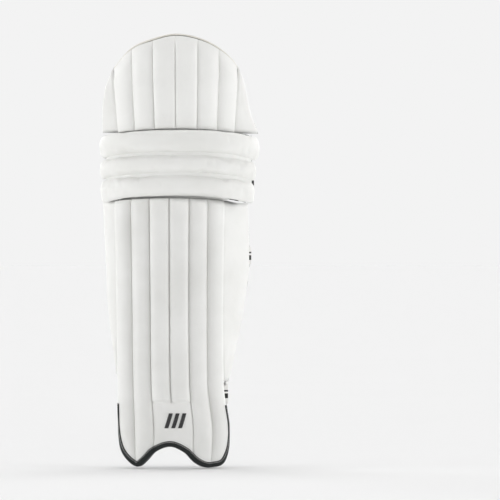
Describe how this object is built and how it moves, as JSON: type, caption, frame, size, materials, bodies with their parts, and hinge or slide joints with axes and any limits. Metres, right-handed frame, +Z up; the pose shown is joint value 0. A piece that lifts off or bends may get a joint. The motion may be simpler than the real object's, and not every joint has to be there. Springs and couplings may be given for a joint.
{
  "type": "cricket leg pad",
  "caption": "Leg pad for batting: ridged shin section, stacked horizontal knee rolls, flared top, padded lining and hook-and-loop straps behind.",
  "frame": {"origin": "middle of the flat leg-side face of the centre shin bolster, halfway up the shin", "axes": "+Z up towards the knee and thigh, +Y out of the lining towards the wearer's leg, +X towards the outer side of a left leg"},
  "size_m": [0.2599, 0.1635, 0.7021],
  "materials": {
    "white_synthetic_leather": "satin",
    "cane_rods": "matte",
    "foam": "matte",
    "stiffener_board": "matte",
    "white_plastic": "gloss",
    "striped_webbing": "woven",
    "hook_tape": "matte",
    "grey_satin": "satin",
    "charcoal_binding": "matte",
    "white_piping": "satin",
    "white_label": "matte",
    "striped_lining": "matte",
    "black_lining": "matte"
  },
  "bodies": {
    "shin": {"ankle_ring": "white_plastic", "ankle_ring_tab": "striped_webbing", "ankle_strap_base": "striped_webbing", "calf_strap_base": "striped_webbing", "instep_binding": "charcoal_binding", "instep_foam": "foam", "instep_lining": "grey_satin", "shin_board": "stiffener_board", "shin_cane_1": "cane_rods", "shin_cane_2": "cane_rods", "shin_cane_3": "cane_rods", "shin_cane_4": "cane_rods", "shin_cane_5": "cane_rods", "shin_cane_6": "cane_rods", "shin_centre_bolster": "black_lining", "shin_face_cover": "white_synthetic_leather", "shin_inner_bolster": "striped_lining", "shin_inner_edge": "white_synthetic_leather", "shin_outer_bolster": "striped_lining"},
    "outer_wing": {"calf_ring": "white_plastic", "calf_ring_tab": "striped_webbing", "wing_face_cover": "white_synthetic_leather", "wing_foam": "foam", "wing_label": "white_label", "wing_lining": "black_lining"},
    "knee": {"knee_board": "stiffener_board", "knee_centre_cushion": "black_lining", "knee_inner_cushion": "black_lining", "knee_outer_cushion": "black_lining", "knee_ring": "white_plastic", "knee_ring_tab": "striped_webbing", "knee_roll_lower_cover": "white_synthetic_leather", "knee_roll_lower_foam": "foam", "knee_roll_middle_cover": "white_synthetic_leather", "knee_roll_middle_foam": "foam", "knee_roll_upper_cover": "white_synthetic_leather", "knee_roll_upper_foam": "foam", "knee_strap_base": "striped_webbing"},
    "top": {"top_board": "stiffener_board", "top_cane_1": "cane_rods", "top_cane_2": "cane_rods", "top_cane_3": "cane_rods", "top_cane_4": "cane_rods", "top_cane_5": "cane_rods", "top_cane_6": "cane_rods", "top_face_cover": "white_synthetic_leather", "top_inner_edge": "white_synthetic_leather", "top_lining": "black_lining", "top_outer_wing": "white_synthetic_leather", "top_piping": "white_piping"},
    "calf_tail": {"calf_hook_pad": "hook_tape", "calf_strap_tail": "striped_webbing"},
    "knee_tail": {"knee_hook_pad": "hook_tape", "knee_strap_tail": "striped_webbing"},
    "ankle_tail": {"ankle_hook_pad": "hook_tape", "ankle_strap_tail": "striped_webbing"}
  },
  "joints": [
    {"name": "lower_knee_flex", "type": "hinge", "parent": "shin", "child": "knee", "pos_m": [0.005, 0.0385, 0.145], "axis": [-1, 0, 0], "range_deg": [0, 10], "stiffness_Nm_per_rad": 3},
    {"name": "upper_knee_flex", "type": "hinge", "parent": "knee", "child": "top", "pos_m": [0.005, 0.0385, 0.255], "axis": [-1, 0, 0], "range_deg": [0, 12], "stiffness_Nm_per_rad": 2},
    {"name": "outer_wing_flex", "type": "hinge", "parent": "shin", "child": "outer_wing", "pos_m": [0.08154, -0.00369, -0.009], "axis": [0, 0, -1], "range_deg": [0, 18], "stiffness_Nm_per_rad": 0.8},
    {"name": "knee_strap_peel", "type": "hinge", "parent": "knee", "child": "knee_tail", "pos_m": [0.11939, 0.05831, 0.17737], "axis": [0, 0, -1], "range_deg": [0, 120]},
    {"name": "calf_strap_peel", "type": "hinge", "parent": "outer_wing", "child": "calf_tail", "pos_m": [0.11234, 0.07721, 0.05543], "axis": [0, 0, -1], "range_deg": [0, 120]},
    {"name": "ankle_strap_peel", "type": "hinge", "parent": "shin", "child": "ankle_tail", "pos_m": [0.08567, 0.02647, -0.16906], "axis": [0, 0, -1], "range_deg": [0, 120]}
  ]
}
